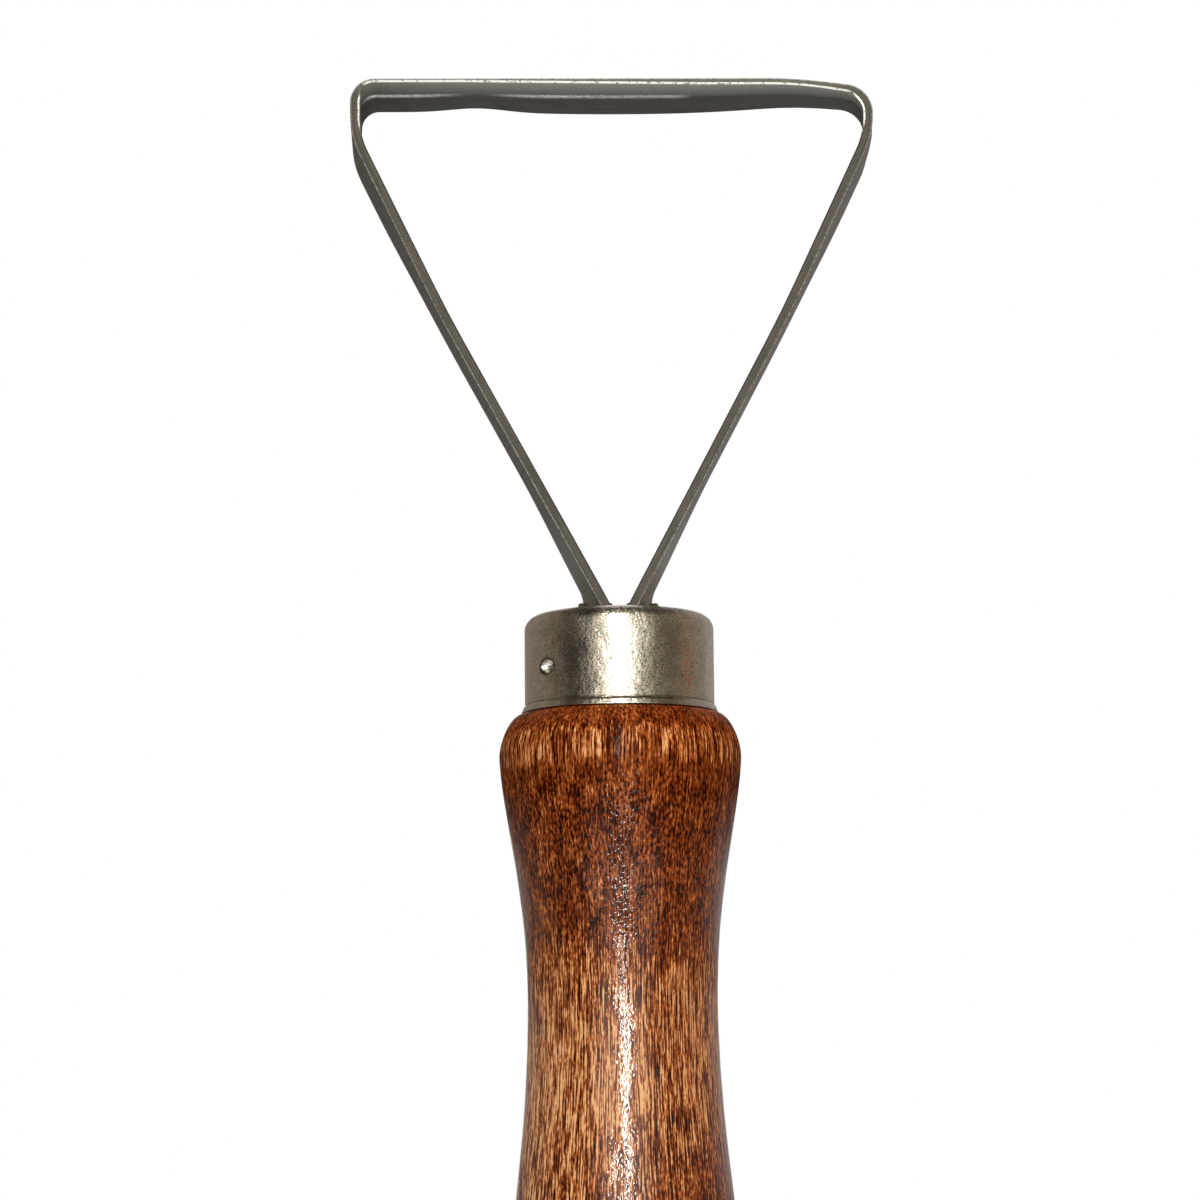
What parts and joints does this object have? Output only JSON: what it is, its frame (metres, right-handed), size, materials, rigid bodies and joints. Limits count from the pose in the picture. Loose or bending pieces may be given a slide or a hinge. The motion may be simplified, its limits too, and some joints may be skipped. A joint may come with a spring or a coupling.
{
  "type": "loop tool",
  "caption": "Hand tool for trimming and hollowing clay: a flat steel strip bent to a triangular loop with a ground front edge, set in a turned wooden handle under a metal ferrule.",
  "frame": {"origin": "centre of the flat face at the butt of the handle", "axes": "+Z along the handle from the butt to the loop, +X across the width of the loop, -Y towards the ground front edge"},
  "size_m": [0.057, 0.0272, 0.1987],
  "materials": {
    "stained_beech": "brown stain under gloss varnish, open grain",
    "nickel_plate": "nickel plate, slightly pitted and dull",
    "strip_steel": "bare strip steel, satin, with bright ground bevels",
    "dark_epoxy": "dark adhesive, satin"
  },
  "bodies": {
    "root": {"handle": "stained_beech", "ferrule": "nickel_plate", "loop_blade": "strip_steel", "socket_epoxy": "dark_epoxy"}
  },
  "joints": []
}
